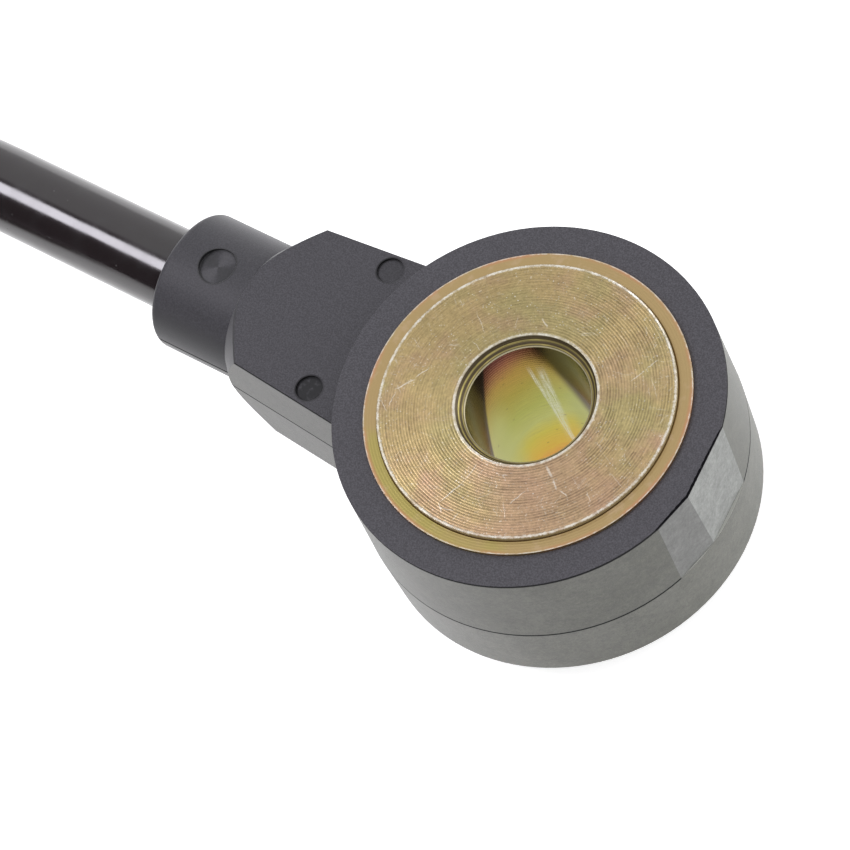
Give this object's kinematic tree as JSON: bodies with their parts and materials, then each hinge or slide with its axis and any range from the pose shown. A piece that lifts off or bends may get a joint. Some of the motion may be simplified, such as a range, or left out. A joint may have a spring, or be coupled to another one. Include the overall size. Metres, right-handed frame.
{
  "type": "engine knock sensor with fixed lead",
  "caption": "Ring-shaped engine knock sensor: plastic ring round a bored steel sleeve, with a neck, collar, cable lead and sealed plug.",
  "frame": {"origin": "centre of the bolt bore in the plane of the bolt-head seat, at the sensor's back", "axes": "+Z along the bore towards the contact face that meets the engine; +X along the neck and lead"},
  "size_m": [0.1404, 0.0824, 0.018],
  "materials": {
    "moulded_nylon": "fine mould grain",
    "passivated_zinc": "turned, zinc plated and yellow passivated",
    "insulating_film": "smooth",
    "contact_bronze": "stamped",
    "piezo_ceramic": "fired, metallised faces",
    "plain_steel": "turned",
    "spring_steel": "blued sheet",
    "chip_ceramic": "glazed",
    "tinned_brass": "tinned",
    "bare_copper": "stranded",
    "core_insulation": "smooth",
    "cable_jacket": "glossy",
    "tinned_braid": "braided",
    "crimp_steel": "plated",
    "boot_rubber": "matt",
    "plug_nylon": "mould grain",
    "seal_rubber": "silicone",
    "lock_plastic": "smooth"
  },
  "bodies": {
    "root": {"housing": "moulded_nylon", "sleeve": "passivated_zinc", "liner": "insulating_film", "front_washer": "insulating_film", "rear_washer": "insulating_film", "front_contact": "contact_bronze", "rear_contact": "contact_bronze", "piezo_ring": "piezo_ceramic", "seismic_mass": "plain_steel", "ring_nut": "plain_steel", "disc_spring": "spring_steel", "shunt_resistor": "chip_ceramic", "splice_a": "tinned_brass", "splice_b": "tinned_brass", "copper_a": "bare_copper", "copper_b": "bare_copper", "core_a": "core_insulation", "core_b": "core_insulation", "jacket_end": "cable_jacket", "shield_braid": "tinned_braid", "crimp_ring": "crimp_steel", "lead": "cable_jacket", "lead_coil": "cable_jacket", "plug_boot": "boot_rubber", "plug_shell": "plug_nylon", "plug_seal": "seal_rubber", "plug_lock": "lock_plastic", "plug_jacket": "cable_jacket", "plug_wire_a": "core_insulation", "plug_wire_b": "core_insulation", "wire_seal_a": "seal_rubber", "wire_seal_b": "seal_rubber", "socket_a": "tinned_brass", "socket_b": "tinned_brass"}
  },
  "joints": []
}
